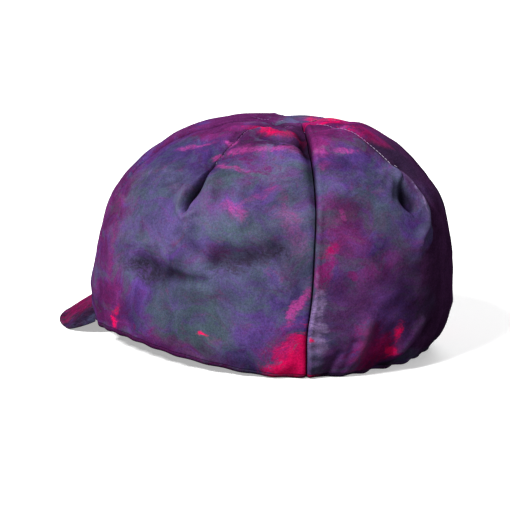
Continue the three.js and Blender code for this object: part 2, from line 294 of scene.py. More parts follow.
def outward(angle, place):
    """Outward direction of the smooth crown, level at the hem."""
    turn, rise = SLOPE_STEP["angle"], SLOPE_STEP["section"]
    round_it = smooth_skin(angle + turn, place) - smooth_skin(angle - turn, place)
    up_it = smooth_skin(angle, np.minimum(place + rise, PANEL_TOP)) - smooth_skin(angle, place - rise)
    direction = unit(np.cross(round_it, up_it))
    direction[..., 2] *= smoothstep(place, 0, UPRIGHT_TO)
    return unit(direction)


def seam_profile(distance, place):
    """How a lapped seam stands: distance is above 0 on the side of the raised edge."""
    low, high = SEAM_LOW, SEAM_HIGH
    wider = smoothstep(place, SEAM_WIDENS["from"], SEAM_WIDENS["to"])
    width = low["width"] + (low["top_width"] - low["width"]) * wider
    depth = low["depth"] + (low["top_depth"] - low["depth"]) * wider
    nip = bell(distance, low["nip_width"])
    down = depth * bell(distance, width) + low["nip"] * nip
    over = high["depth"] * bell(distance, high["width"]) + (depth + low["nip"] - high["depth"]) * nip
    swell = high["swell"] * bell(distance - high["swell_at"], high["swell_width"])
    return np.where(distance < 0, -down, swell - over)


def seam_puckers(distance, place, height):
    """Small waves beside a seam: distance is above 0 on the side of the raised edge."""
    kind = SEAM_PUCKER
    sway = kind["sway"] * np.sin(height / kind["sway_length"])
    wave = np.sin(2 * np.pi * height / kind["pitch"] + sway)
    near = bell(distance - kind["offset"], kind["reach"]) * smoothstep(distance, 0, kind["offset"])
    strength = 1 - kind["less"] * smoothstep(place, kind["less_from"], kind["less_to"])
    return kind["depth"] * strength * near * wave


def leaf_width(share):
    """Width of a pucker's hollow along its length, at most 1."""
    return np.sin(np.pi * np.clip(share, *LEAF["ends"]) ** LEAF["slant"]) ** LEAF["fullness"]


def along(places, point):
    """Share along a line through places and the signed distance from it, above 0 on the side of the
    higher angles. Also gives the direction of that side."""
    corners = [smooth_skin(*map(float, place)) for place in places]
    lengths = [np.linalg.norm(b - a) for a, b in zip(corners, corners[1:])]
    middle = places[len(places) // 2]
    side = unit(smooth_skin(middle[0] + 1.0, middle[1]) - smooth_skin(float(middle[0]), middle[1]))
    nearest = np.full(point.shape[:-1], np.inf)
    share = np.zeros(point.shape[:-1])
    passed = 0
    for a, b, length in zip(corners, corners[1:], lengths):
        line = b - a
        t = np.clip(((point - a) @ line) / (line @ line), 0, 1)
        offset = point - (a + t[..., None] * line)
        distance = np.linalg.norm(offset, axis=-1)
        closer = distance < np.abs(nearest)
        signed = distance * np.where(offset @ side < 0, -1, 1)
        nearest = np.where(closer, signed, nearest)
        share = np.where(closer, (passed + t * length) / sum(lengths), share)
        passed += length
    return share, nearest, side


def ripple(point):
    """Uneven hang of the cloth, from a few layers of plane waves with seeded directions."""
    out = np.zeros(point.shape[:-1])
    for wavelength, depth, seed in RIPPLES:
        chance = np.random.default_rng(seed)
        layer = np.zeros(point.shape[:-1])
        for _ in range(RIPPLE_WAVES):
            way = unit(chance.normal(size=3)) * chance.uniform(*RIPPLE_STRETCH)
            layer += np.sin(2 * np.pi * (point @ way) / wavelength + chance.uniform(0, 2 * np.pi))
        out += depth * layer / math.sqrt(RIPPLE_WAVES)
    return out


def folds(angle, place, point):
    """How far the seams, darts, folds and puckers stand out of the smooth crown."""
    angle, place = np.broadcast_arrays(angle, place)
    row = section_at(place)
    radius = girth(angle, row)
    fade = np.minimum(1, radius / TOP_RELIEF)
    out = np.zeros(angle.shape)
    seams = [(FRONT_SEAM, -1, "front"), (-FRONT_SEAM, 1, "front"), (row["seam"], 1, "back"),
             (-row["seam"], -1, "back")]
    for seam, raised, end in seams:
        relief_share, pucker_share = SEAM_SHARES[end]
        distance = np.radians(wrap(angle - seam)) * radius * raised
        out += fade * relief_share * seam_profile(distance, place)
        out += fade * pucker_share * seam_puckers(distance, place, row["height"])
    sewn = smoothstep(place, DART["end"], DART["start"])
    for middle in PANELS.values():
        distance = np.radians(wrap(angle - middle)) * radius
        broad = DART["depth"] * bell(distance, DART["width"])
        out -= fade * sewn * (broad + DART["nip"] * bell(distance, DART["nip_width"]))
    for values in FOLDS:
        fold = {"skew": 0, **dict(zip(FOLD_KEYS, values))}
        _, distance, _ = along(fold["places"], point)
        width = fold["width"] * np.where(distance > 0, 1 - fold["skew"], 1 + fold["skew"])
        out -= fold["depth"] * bell(distance, width)
    for pucker in PUCKERS:
        share, distance, _ = along(pucker["places"], point)
        leaf = leaf_width(share)
        half = pucker["half"] * leaf
        ease, power = pucker["ease"]
        soft = bell(distance, ease * half, power)
        crisp = bell(distance, PUCKER_CRISP["width"] * half, PUCKER_CRISP["power"])
        out -= pucker["depth"] * leaf * np.where(distance > 0, crisp, soft)
    return out


def scallop_wave(angle):
    """Wave of the hem's scallops, from -1 to 1, with an uneven pitch."""
    sway = SCALLOP["sway"] * np.sin(np.radians(angle) * SCALLOP["sways"])
    return np.cos(2 * np.pi * wrap(angle - 180) / SCALLOP["pitch"] + sway)


def hang(angle, place):
    """How far the gathers and the scallops of the hem stand out."""
    height = section_at(place)["height"]
    backness = smoothstep(np.abs(wrap(angle)), GATHER["start"], GATHER["full"])
    wave = np.cos(2 * np.pi * wrap(angle - 180) / GATHER["pitch"])
    gathers = GATHER["depth"] * backness * bell(height, GATHER["reach"]) * wave
    depth = SCALLOP["depth"] + (SCALLOP["back_depth"] - SCALLOP["depth"]) * backness
    return gathers + depth * bell(height, SCALLOP["reach"]) * scallop_wave(angle)


def relief(angle, place, point):
    """How far the cloth stands out of the smooth crown in all."""
    fade = smoothstep(place, 0, RIPPLE_FROM) * np.minimum(1, girth(angle, section_at(place)) / TOP_RELIEF)
    return folds(angle, place, point) + hang(angle, place) + ripple(point) * fade


def cloth(angle, place, inset=0.0):
    """A point of the cloth, inset from its outer face."""
    angle, place = np.broadcast_arrays(np.asarray(angle, float), np.asarray(place, float))
    point = smooth_skin(angle, place)
    out = relief(angle, place, point) - inset
    made = point + outward(angle, place) * out[..., None]
    for pucker in PUCKERS:
        share, distance, side = along(pucker["places"], point)
        lean = bell(distance - PUCKER_LIP["place"] * pucker["half"], PUCKER_LIP["width"])
        made -= side * (pucker["lip"] * leaf_width(share) * lean)[..., None]
    pulled_up = SCALLOP["rise"] * (0.5 - 0.5 * scallop_wave(angle))
    made[..., 2] += pulled_up * (1 - smoothstep(place, 0, SCALLOP["fade"]))
    return made


def make_object(name, points, faces, materials, node=None):
    """A smooth-shaded mesh from points in mm, which rides on the body and may replace a node."""
    mesh = bpy.data.meshes.new(name)
    mesh.from_pydata((np.asarray(points) * MM).tolist(), [], faces)
    mesh.validate()
    mesh.polygons.foreach_set("use_smooth", np.ones(len(mesh.polygons), bool))
    for material in materials:
        mesh.materials.append(material)
    piece = add_object(name, mesh)
    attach(piece, "root")
    if node:
        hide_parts(node)
    return mesh


def make_cloth(node, points, faces, materials, coordinates, inside=None, stands_out=None):
    """A piece of cloth that replaces a node. coordinates lie in the cloth's plane, for its weave, inside
    marks the faces of the second material, and stands_out is how far the cloth lies above its
    surroundings, which the material reads to paint shade into its hollows and a highlight on its ridges."""
    mesh = make_object(f"{node}_cloth", points, faces.tolist(), materials, node)
    layer = mesh.uv_layers.new(name="cloth")
    corners = np.zeros(len(mesh.loops), np.int32)
    mesh.loops.foreach_get("vertex_index", corners)
    layer.data.foreach_set("uv", (np.asarray(coordinates) * MM)[corners].ravel())
    if inside is not None:
        mesh.polygons.foreach_set("material_index", inside.astype(np.int32))
    if stands_out is not None:
        layer = mesh.attributes.new("stands_out", "FLOAT", "POINT")
        layer.data.foreach_set("value", stands_out.astype(np.float32).ravel())
    mesh.update()


def run_lengths(points):
    """Length along a line of points, from 0 at its start."""
    return np.concatenate([[0], np.cumsum(np.linalg.norm(np.diff(points, axis=0), axis=-1))])


def shell_faces(rows, columns):
    """Faces of a closed body between an outer and an inner grid, and which of them lie inside."""
    corner = np.arange(rows * columns).reshape(rows, columns)
    a, b, c, d = corner[:-1, :-1], corner[:-1, 1:], corner[1:, 1:], corner[1:, :-1]
    shift = rows * columns
    outer = np.stack([a, b, c, d], -1).reshape(-1, 4)
    inner = np.stack([a, d, c, b], -1).reshape(-1, 4) + shift
    edge = np.concatenate([corner[0], corner[1:, -1], corner[-1, -2::-1], corner[-2:0:-1, 0]])
    following = np.roll(edge, -1)
    walls = np.stack([edge, edge + shift, following + shift, following], -1)
    inside = np.repeat([0, 1, 0], [len(outer), len(inner), len(walls)])
    return np.concatenate([outer, inner, walls]), inside


def column_shares():
    """Shares of a panel's width for its columns, closest at its seams and its dart."""
    t = np.linspace(0, 1, WEIGHT_STEPS)
    edge = np.minimum(t, 1 - t) * PANEL_WIDTH
    middle = np.abs(t - 0.5) * PANEL_WIDTH
    weight = 1 + EDGE_WEIGHT * bell(edge, EDGE_REACH) + MIDDLE_WEIGHT * bell(middle, MIDDLE_REACH)
    total = np.concatenate([[0], np.cumsum((weight[1:] + weight[:-1]) / 2)])
    wanted = np.linspace(0, total[-1], PANEL_COLUMNS + 1)
    return np.interp(wanted, total, t)


def panel_edges(middle, place):
    """Angles of the seams on the two sides of the panel round a middle angle."""
    back = section_at(place)["seam"]
    front = np.full_like(back, FRONT_SEAM)
    starts = {0: -front, 90: front, 180: back, 270: 360 - back}
    ends = {0: front, 90: back, 180: 360 - back, 270: 360 - front}
    return starts[middle], ends[middle]


def seam_margin(edge, place):
    """Angle that a panel keeps clear of its seam line."""
    degree = np.linalg.norm(smooth_skin(edge + 1, place) - smooth_skin(edge, place), axis=-1)
    return SEAM_GAP / 2 / degree


def build_panel(name, middle, materials):
    """One panel of the crown: a closed wall of cloth between its two seams."""
    place = np.linspace(PANEL_FOOT, PANEL_TOP, PANEL_ROWS + 1)
    start, end = panel_edges(middle, place)
    first = start + seam_margin(start, place)
    last = end - seam_margin(end, place)
    shares = column_shares()[None, :]
    angle = first[:, None] + (last - first)[:, None] * shares
    places = np.broadcast_to(place[:, None], angle.shape)
    outer = cloth(angle, places)
    inner = cloth(start[:, None] + (end - start)[:, None] * shares, places, CLOTH)
    across = np.radians(angle - middle) * girth(angle, section_at(places))
    up = run_lengths(smooth_skin(np.full_like(place, middle), place))[:, None] * np.ones_like(angle)
    grid = np.stack([across, up], -1).reshape(-1, 2)
    faces, inside = shell_faces(*angle.shape)
    points = np.concatenate([outer.reshape(-1, 3), inner.reshape(-1, 3)])
    height = folds(angle, places, smooth_skin(angle, places))
    make_cloth(name, points, faces, materials, np.concatenate([grid, grid]), inside,
               np.concatenate([height, np.zeros_like(height)]))


def build_hem(materials):
    """The hem band: one profile swept all round."""
    angle = np.linspace(0, 360, HEM_COLUMNS, endpoint=False)
    places, insets = np.array(HEM_BAND).T
    angles, places, insets = np.broadcast_arrays(angle[:, None], places, insets)
    rings = cloth(angles, places, insets)
    rings[..., 2] = np.maximum(rings[..., 2], 0)
    here = np.arange(angles.size).reshape(angles.shape)
    onward = np.roll(here, -1, 0)
    faces = np.stack([here, np.roll(here, -1, 1), np.roll(onward, -1, 1), onward], -1).reshape(-1, 4)
    down = run_lengths(rings[0])[None, :] * np.ones(angles.shape)
    grid = np.stack([np.radians(angles) * HEM_RADIUS, down], -1).reshape(-1, 2)
    make_cloth("hem_band", rings.reshape(-1, 3), faces, materials, grid)


def peak_point(round_it, t):
    """Place of the peak's under face: round_it runs from the wearer's right to the left, t from the
    hem to the rim."""
    bow = np.abs(np.cos(round_it)) ** (2 / PEAK["shape"])
    across = -np.sign(np.cos(round_it)) * bow
    share = np.sin(round_it) ** (2 / PEAK["shape"])
    turn = np.arcsin(PEAK["half"] * across / SECTIONS[0][0])
    angle = np.degrees(turn)
    root_place = np.full_like(angle, PEAK_ROOT_SECTION)
    root = smooth_skin(angle, root_place)
    near_root = bell(PEAK["reach"] * share * t, PEAK["tuck"])
    tucked = (cloth(angle, root_place) - root) * near_root[..., None]
    root = root + outward(angle, root_place) * PEAK["clear"] + tucked * (1, 1, 0)
    away = unit(np.stack([PEAK["fan"] * np.sin(turn), -np.cos(turn), np.zeros_like(turn)], -1))
    made = root + away * (PEAK["reach"] * share * t)[..., None]
    curve = PEAK["dome"] * share * 4 * t * (1 - t)
    level = hem_lift(angle) - PEAK["sink"] - PEAK_DROP * share * t + curve
    made[..., 2] = np.maximum(0, level)
    return made


def build_peak(materials):
    """The peak: a closed body with a rounded rim and a row of stitching sunk along it."""
    round_it = np.pi * (np.arange(PEAK_COLUMNS) + 0.5) / PEAK_COLUMNS
    t = 1 - (1 - np.linspace(0, 1, PEAK_ROWS + 1)) ** PEAK_CROWDING
    angles, shares = np.broadcast_arrays(round_it[None, :], t[:, None])
    under = peak_point(angles, shares)
    thick = PEAK_THICKNESS["root"] + (PEAK_THICKNESS["rim"] - PEAK_THICKNESS["root"]) * shares**2
    reach = PEAK["reach"] * np.sin(angles) ** (2 / PEAK["shape"])
    to_rim = (1 - shares) * reach
    rounding = 1 - np.minimum(1, to_rim / PEAK_EDGE["round"])
    half = thick / 2 * np.sqrt(1 - rounding**2 * PEAK_EDGE["fullness"])
    stitch = PEAK_EDGE["stitch_depth"] * bell(to_rim - PEAK_EDGE["stitch_in"], PEAK_EDGE["stitch_width"])
    middle = under[..., 2] + thick / 2
    over = under.copy()
    over[..., 2] = middle + half - stitch
    under[..., 2] = middle - half
    faces, inside = shell_faces(*angles.shape)
    grid = np.stack([over[..., 0], shares * reach], -1).reshape(-1, 2)
    points = np.concatenate([over.reshape(-1, 3), under.reshape(-1, 3)])
    make_cloth("peak", points, faces[:, ::-1], materials, np.concatenate([grid, grid]), inside)


# Threads: short stitches that lie in a line on the cloth, raised over it, and the tacks at the ends of
# a seam and two darts
THREAD = {"radius": 0.13, "sides": 7, "rings": 7, "length": 2.1, "pitch": 2.35, "arch": 0.16}
DART_THREAD = {"high": 7.75, "low": 5.95, "beside": 0.55, "steps": 60, "raise": 0.1}
TACK = {"turns": (12, 62, 128), "reach": 1.05, "steps": 9, "raise": 0.5}
TACK_PLACES = [(135, 7.55), (179.4, 5.93), (90, 5.98)]


def stitch_rings(path, facings, begin, raised):
    """Rings of points round one stitch, which starts at a length along a path."""
    total = run_lengths(path)
    marks = begin + np.linspace(0, THREAD["length"], THREAD["rings"])
    middle = np.stack([np.interp(marks, total, path[:, k]) for k in range(3)], -1)
    up = unit(np.stack([np.interp(marks, total, facings[:, k]) for k in range(3)], -1))
    share = np.linspace(-1, 1, THREAD["rings"])
    middle = middle + up * (raised + THREAD["arch"] * (1 - share[:, None] ** 4))
    way = unit(np.gradient(middle, axis=0))
    side = unit(np.cross(way, up))
    top = np.cross(side, way)
    radius = THREAD["radius"] * np.sqrt(np.maximum(0.05, 1 - share**6))
    turn = 2 * np.pi * np.arange(THREAD["sides"]) / THREAD["sides"]
    spokes = np.cos(turn)[:, None] * side[:, None] + np.sin(turn)[:, None] * top[:, None]
    return middle[:, None] + radius[:, None, None] * spokes


def build_stitches(name, lines, material, raised):
    """Short rounded stitches along lines. Each line is an array of points in mm and the directions in
    which the cloth faces."""
    points, faces = [], []
    sides, rings = THREAD["sides"], THREAD["rings"]
    for path, facings in lines:
        for begin in np.arange(0, run_lengths(path)[-1] - THREAD["length"], THREAD["pitch"]):
            base = len(points)
            points.extend(stitch_rings(path, facings, begin, raised).reshape(-1, 3))
            for a in range(base, base + (rings - 1) * sides):
                b = a + 1 if (a + 1 - base) % sides else a + 1 - sides
                faces.append((a, b, b + sides, a + sides))
            faces.append(tuple(reversed(range(base, base + sides))))
            faces.append(tuple(range(base + (rings - 1) * sides, base + rings * sides)))
    make_object(name, points, faces, [material])


def dart_line(middle):
    """Points and facing directions beside a dart, from its top to its end."""
    place = np.linspace(DART_THREAD["high"], DART_THREAD["low"], DART_THREAD["steps"])
    radius = girth(middle, section_at(place))
    angle = middle + np.degrees(DART_THREAD["beside"] / np.maximum(radius, 1))
    return cloth(angle, place), outward(angle, place)


def tack_lines(angle, place):
    """Three short crossing stitches that hold the end of a seam or a dart."""
    lines = []
    spot = cloth(np.array([angle]), np.array([place]))[0]
    facing = outward(np.array([angle]), np.array([place]))[0]
    across = unit(np.cross(facing, (0, 0, 1)))
    for turn in TACK["turns"]:
        way = np.array(Matrix.Rotation(math.radians(turn), 3, Vector(facing)) @ Vector(across))
        path = spot + np.linspace(-TACK["reach"], TACK["reach"], TACK["steps"])[:, None] * way
        lines.append((path, np.repeat(facing[None, :], TACK["steps"], 0)))
    return lines


# Inks of the print, before DIM darkens them
INK = {
    "slate": (0.094, 0.099, 0.198),
    "slate_green": (0.090, 0.130, 0.168),
    "grey_violet": (0.145, 0.125, 0.265),
    "lilac": (0.360, 0.240, 0.500),
    "aubergine": (0.165, 0.045, 0.205),
    "indigo": (0.078, 0.038, 0.205),
    "violet": (0.155, 0.070, 0.345),
    "plum": (0.165, 0.024, 0.150),
    "magenta": (0.300, 0.026, 0.200),
    "pink": (0.640, 0.080, 0.420),
    "crimson": (1.250, 0.008, 0.170),
    "wine": (0.460, 0.012, 0.150),
    "maroon": (0.085, 0.026, 0.098),
    "dusk": (0.058, 0.044, 0.088),
    "night": (0.040, 0.022, 0.060),
}

# Colours besides the print: painted shade in the hollows, a painted highlight on what stands out, the
# cloth's flecks and reverse, and the threads, pale for the thread painted lit and dark for it painted
# shaded
PLAIN_INK = {
    "hollow": (0.004, 0.002, 0.006),
    "painted_ridge_highlight": (0.17, 0.14, 0.24),
    "fleck": (0.20, 0.16, 0.30),
    "reverse": (0.42, 0.38, 0.46),
    "pale_thread": (0.42, 0.34, 0.48),
    "dark_thread": (0.10, 0.06, 0.14),
}

# Clouds of the print on each piece, then the bright accents over its strokes. Some night and dusk rows,
# marked below, are painted shade along folds, dents and a pucker rather than print, and some pale rows
# are painted highlights. A row gives the place, the size in mm across and up, the ink, its strength and
# the tilt in degrees, 0 where it is left out
CLOUDS = {"crown_left": [
    (50, 4.4, 26, 64, "plum", 0.85),
    (56, 2.4, 30, 44, "plum", 0.75),
    (66, 1.6, 16, 26, "plum", 0.7),
    (79, 1.8, 20, 28, "violet", 0.75),
    (66, 6, 34, 16, "indigo", 1, 20),
    (82, 6, 24, 18, "indigo", 0.85, 25),
    (82, 5.4, 16, 12, "violet", 0.5, 30),
    (62, 5.2, 18, 12, "slate_green", 0.7),
    (73, 4.8, 28, 26, "slate", 0.8),
    (74, 3.6, 30, 22, "grey_violet", 0.55),
    (56, 6.9, 60, 16, "plum", 1),
    (62, 7.2, 40, 7, "magenta", 0.5),
    # painted shade: the dark wedge where the left dart meets the fold across it
    (84, 6.75, 11, 4, "night", 0.9, 20),
    (94, 4.7, 22, 22, "slate", 0.7),
    (102, 6.2, 22, 9, "violet", 0.6),
    (126, 6.45, 22, 7, "violet", 0.6),
    (112, 7.1, 34, 11, "plum", 0.8),
    # painted shade along the two folds across the top
    (112, 6.72, 34, 3.4, "night", 0.9),
    (104, 7.5, 40, 3.4, "night", 0.8),
    (124, 5.9, 26, 11, "slate_green", 0.9, 8),
    (106, 5.5, 26, 11, "slate_green", 0.8, 8),
    (112, 5.1, 26, 13, "violet", 0.8, 25),
    (111, 4.3, 26, 11, "slate_green", 0.85, 10),
    (125, 4.9, 16, 34, "grey_violet", 0.8, 20),
    (124, 5.2, 13, 15, "slate", 0.8),
    (100, 3.8, 26, 8, "violet", 0.5, 10),
    (98, 2, 30, 26, "slate_green", 1),
    # painted shade along the dents round the girth
    (85, 3.2, 28, 9, "night", 0.55, -8),
    (116, 3.95, 28, 5, "night", 0.35, -14),
    (116, 3.2, 26, 18, "slate", 0.75),
    (92, 2.6, 22, 20, "slate", 0.6),
    (129, 3.1, 14, 20, "indigo", 0.75, 30),
    (122, 1.8, 16, 26, "violet", 0.85, 30),
    (117, 0.5, 24, 11, "indigo", 0.7),
    (96, 0.4, 30, 8, "plum", 0.7),
    (84, 4.35, 26, 12, "violet", 0.4),
    (99, 4.5, 16, 8, "grey_violet", 0.5),
    (127, 3.7, 9, 12, "grey_violet", 0.9, 20),
], "crown_back": [
    (150, 6.9, 44, 14, "plum", 0.9),
    (140, 6.6, 12, 16, "magenta", 0.8),
    (158, 6.3, 30, 11, "indigo", 0.85),
    (139, 5.5, 9, 12, "violet", 0.6),
    (158, 5.2, 30, 22, "slate", 0.75),
    (154, 5.3, 16, 16, "slate_green", 0.5),
    (144, 4.5, 20, 24, "plum", 0.85, 10),
    (154, 3.4, 34, 22, "plum", 0.7, 20),
    (145, 3.5, 12, 10, "indigo", 0.7),
    (158, 3, 16, 18, "violet", 0.5),
    (139.5, 2.2, 6.5, 36, "slate", 0.9),
    (146, 2, 16, 20, "grey_violet", 0.6),
    (143, 5.9, 9, 9, "plum", 0.7),
    (138, 5.2, 5, 10, "magenta", 0.35),
    (158, 2.2, 40, 34, "aubergine", 0.8),
    (146, 0.7, 22, 12, "aubergine", 0.8),
    (164, 1.4, 26, 20, "plum", 0.85, 30),
    (182, 4.9, 11, 20, "slate", 0.8),
], "crown_front": [
    (0, 5.6, 46, 20, "indigo", 0.7, 10),
    (20, 7.1, 60, 14, "plum", 0.95),
    (-30, 7.6, 20, 8, "slate", 0.8),
    (20, 4.3, 30, 24, "plum", 0.7),
    (-14, 4.2, 30, 24, "slate", 0.75, 20),
    (10, 2.4, 34, 26, "violet", 0.7),
    (-26, 2.2, 26, 22, "slate_green", 0.8),
    (-24, 6.4, 26, 9, "magenta", 0.7),
], "crown_right": [
    (262, 5, 40, 26, "slate", 0.75),
    (286, 4.6, 34, 26, "violet", 0.7, 20),
    (300, 2.4, 26, 30, "plum", 0.8),
    (272, 2.4, 34, 26, "slate_green", 0.75),
    (246, 1.4, 22, 20, "magenta", 0.6, 20),
    (250, 3.6, 24, 14, "indigo", 0.7),
    (290, 6.4, 30, 10, "indigo", 0.7),
    (280, 7.7, 16, 9, "plum", 0.6),
], "hem_band": [
    (60, 0.2, 60, 20, "plum", 0.7),
    (165, 0.2, 50, 20, "plum", 0.7),
    (145, 0.2, 22, 20, "night", 0.8),
], "peak": [
    (0, 0, 200, 60, "night", 0.9),
    (-20, 0.1, 50, 50, "plum", 0.7),
]}
ACCENTS = {"crown_left": [
    (54, 6.9, 66, 15, "plum", 1.3),
    (72, 6.25, 28, 9, "indigo", 0.8, 20),
    (105, 3.85, 9, 4, "plum", 0.6),
    # painted shade along the dents round the girth
    (79.5, 2.98, 20, 7, "dusk", 1, -4),
    (111, 3.66, 15, 6, "dusk", 1, 12),
    (120, 3.95, 12, 5, "dusk", 1, 16),
    (70, 7.75, 60, 14, "plum", 2.2),
    (60, 7.75, 44, 8, "maroon", 1),
    (110, 7.74, 12, 5, "maroon", 0.9),
    (98, 5, 15, 12, "aubergine", 0.5),
    (61, 3, 4, 24, "magenta", 0.55, 4),
    (53, 4.4, 7, 12, "magenta", 0.5),
    (66, 1.4, 12, 20, "magenta", 0.55, -10),
    (64, 6.15, 9, 3, "pink", 0.6, 15),
    (73, 6.35, 9, 1.6, "pink", 0.5, 18),
    (66, 6.6, 16, 4, "magenta", 0.5, 10),
    (89, 6.5, 5, 3, "pink", 0.9, 30),
    (88.4, 6.1, 3, 2.2, "pink", 1.6, 30),
    (98, 6.3, 10, 3, "pink", 0.7, 12),
    (106, 6.4, 9, 2.6, "pink", 0.55, -10),
    (115, 6.5, 11, 2.4, "pink", 0.6, 10),
    (126, 6.5, 14, 2.6, "pink", 0.35),
    (99, 5.85, 11, 2.2, "pink", 0.8),
    (95.5, 7.1, 12, 3.6, "crimson", 1.1),
    (118, 7.05, 18, 4, "crimson", 0.5),
    (78, 7, 10, 4, "magenta", 0.8, 20),
    (108, 4.8, 8, 4, "pink", 0.55, -30),
    (116, 5.3, 14, 2.4, "pink", 0.4, 30),
    (127, 4.6, 5, 16, "pink", 0.25, 25),
    (131.2, 2.9, 3.8, 14, "pink", 1.7, -30),
    (133.2, 0.8, 11.5, 22, "crimson", 3.2, -26),
    (131.8, 0.3, 13, 9, "crimson", 2.2),
    (127.5, 1.5, 8, 18, "magenta", 0.8, -36),
    (103.5, 1.5, 2.3, 2, "crimson", 2.2),
    (67.5, 0.6, 4, 5, "crimson", 1.2, -20),
    (68.5, 1.15, 2.4, 5, "crimson", 0.7, -15),
    (79, 0.8, 2.2, 2.4, "magenta", 0.9),
], "crown_back": [
    (140.5, 6.45, 4, 4, "pink", 0.6),
    (155, 6.42, 7, 2.4, "pink", 0.8),
    (139, 6, 3, 5, "pink", 0.35),
    (139.5, 4.15, 4, 6, "wine", 1.2, -42),
    (137.8, 3.6, 5, 14, "magenta", 1.6, -24),
    (144.6, 4.85, 2.2, 2.4, "pink", 0.8),
    (144, 4.6, 12, 14, "magenta", 0.4, 30),
    (147.5, 3.55, 3, 2.4, "magenta", 2),
    (158, 2.8, 30, 30, "aubergine", 0.9, -20),
    (163, 2.4, 16, 24, "violet", 0.7),
    # partly print and partly a painted highlight: the lilac strip on the seam's raised edge, where it
    # catches the light
    (137.4, 2.3, 4.4, 27, "lilac", 1.3),
    (139, 1.6, 6, 8, "lilac", 0.8),
    (139.5, 0.9, 6, 8, "grey_violet", 1),
    (155, 3.7, 14, 8, "magenta", 0.35, 30),
    (160, 1.3, 16, 15, "plum", 1.2, -20),
    (156.5, 1.5, 9, 15, "magenta", 2.2, 24),
    (163, 1.45, 8.5, 9, "wine", 1.8),
    (159, 1, 13, 12, "wine", 1, 10),
    (165.5, 1.3, 4.2, 3.4, "crimson", 2.4),
    (167, 1.95, 2.6, 5.5, "crimson", 1.5),
    # painted shade in the back pucker's hollow, and a painted highlight as a thin line along its ridge's
    # crest
    (181, 4.9, 9, 14, "night", 0.35),
    (182.4, 5.35, 0.9, 15, "lilac", 0.9, -8),
    (153, 0.9, 9, 10, "magenta", 0.5, 60),
    (136.6, 1.78, 1.3, 1.3, "crimson", 1.2),
    (160, 7.6, 44, 14, "plum", 2.6),
    (158, 7.1, 30, 9, "plum", 1.6),
    (163, 7.78, 36, 7, "wine", 1.9),
    (168, 7.7, 20, 2.4, "crimson", 0.9),
    (141, 7.2, 14, 12, "magenta", 0.8),
    (178, 7.3, 9, 2.4, "pink", 0.6, 10),
], "crown_front": [
    (20, 7.3, 70, 24, "plum", 2.4),
    (41, 5.2, 14, 14, "indigo", 1.2),
    (42, 6.3, 20, 22, "plum", 2),
    (41, 4, 18, 36, "plum", 1.8),
    (30, 1.2, 14, 12, "crimson", 0.6, 20),
    (2, 1.2, 5, 5, "pink", 0.8),
    (-20, 3.3, 12, 3, "pink", 0.5, 20),
    (14, 6.2, 14, 3, "pink", 0.5, -10),
], "crown_right": [
    (290, 1, 8, 7, "crimson", 0.9),
    (236, 7.5, 30, 9, "crimson", 0.9),
    (232, 7.86, 9, 5, "maroon", 0.9),
    (258, 6.4, 16, 3, "pink", 0.5),
    (228, 1, 20, 22, "crimson", 0.9, -14),
    (276, 3.6, 5, 4, "crimson", 0.7),
    (238, 4.6, 12, 6, "magenta", 0.6, -30),
], "hem_band": [
    (88, 0.2, 64, 20, "plum", 1.4),
    (132, 0.2, 16, 20, "crimson", 0.8),
], "peak": [
    (5, 0.1, 48, 48, "wine", 1.3),
    (40, 0.1, 20, 20, "night", 1.4),
    (-34, 0.1, 24, 24, "indigo", 0.9),
    (42, 0.1, 9, 9, "slate", 1.2),
]}

# The print doesn't meet across the back dart: these patches lie past it only. Their maroon and night are
# partly the print's own dark and partly painted shade on the side past the dart, which turns from the
# light; their wine and crimson are print
BEYOND_DART = {"crown_back": [
    (200, 6.2, 40, 40, "maroon", 1.5),
    (190, 6, 16, 26, "night", 0.8),
    (193, 3.7, 44, 42, "maroon", 1.5),
    (192, 1.8, 32, 22, "maroon", 1.2),
    (200, 7.3, 44, 14, "wine", 1.2),
    (196, 7.35, 20, 5, "crimson", 0.8),
    (194, 6.75, 8, 10, "wine", 0.5),
    (205, 7.7, 26, 4, "night", 0.7),
]}

# The line past which they lie, in mm: it bulges out round a height and shifts sideways between two
# heights, and its blur grows between two heights
RIDGE = {"height": 77, "spread": 12, "out": 7.8, "foot": (70, 56), "foot_shift": 14,
         "blur_between": (70, 58), "blur": (0.6, 7)}

# Ground of the print: where along the noise each ink lies
GROUND = [(0.30, "slate_green"), (0.41, "slate"), (0.48, "grey_violet"), (0.54, "violet"), (0.60, "indigo"),
          (0.67, "plum"), (0.76, "magenta")]

# Share of a cloud's size at which it begins to show and at which it is full
CLOUD_EDGE, CLOUD_CORE = 1.25, 0.35

# Brushed strokes over the clouds: scale, shift, where the noise starts and is full, colour, strength
STROKES = [
    (62.0, 0.7, 0.50, 0.62, "violet", 0.38),
    (52.0, 1.1, 0.53, 0.66, "plum", 0.34),
    (100.0, 1.6, 0.57, 0.68, "magenta", 0.26),
    (130.0, 2.2, 0.53, 0.66, "indigo", 0.28),
    (56.0, 0.3, 0.50, 0.62, "slate_green", 0.42),
]

# Pitch of the weave, how much of the print's colour each face of the cloth keeps, and how pale the
# reverse is
WEAVE_PITCH = 0.52
# painted shade: hem, peak and peak_under keep less of the print than face, for the shade on the
# turned-under hem and on the peak, most on its under face
DIM = {"face": 0.46, "reverse": 0.42, "hem": 0.25, "peak": 0.30, "peak_under": 0.22}
REVERSE_PALE = 0.35


